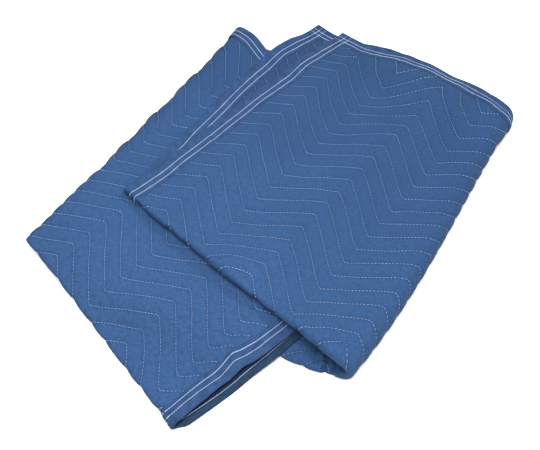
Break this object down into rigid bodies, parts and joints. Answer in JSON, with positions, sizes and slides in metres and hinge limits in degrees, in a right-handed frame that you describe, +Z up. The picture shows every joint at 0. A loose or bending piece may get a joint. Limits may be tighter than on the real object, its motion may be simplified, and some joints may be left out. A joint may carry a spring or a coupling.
{
  "type": "folded moving blanket",
  "caption": "Zigzag-quilted moving blanket with a bound edge, folded in half and then in three, letter-wise and a little askew, lying flat.",
  "frame": {"origin": "a point of the middle panel's flat underside, near the middle of the pile", "axes": "+Z up off the floor, +X to the right and +Y to the rear as one stands at the two hems' corners"},
  "size_m": [1.015, 0.9962, 0.0713],
  "materials": {
    "quilted_cloth": "matt non-woven cloth quilted over wadding with pale thread",
    "binding_cloth": "matt plain non-woven strip, folded over the edge and sewn with rows of pale thread"
  },
  "bodies": {
    "root": {"quilted_panel": "quilted_cloth", "binding": "binding_cloth"}
  },
  "joints": []
}
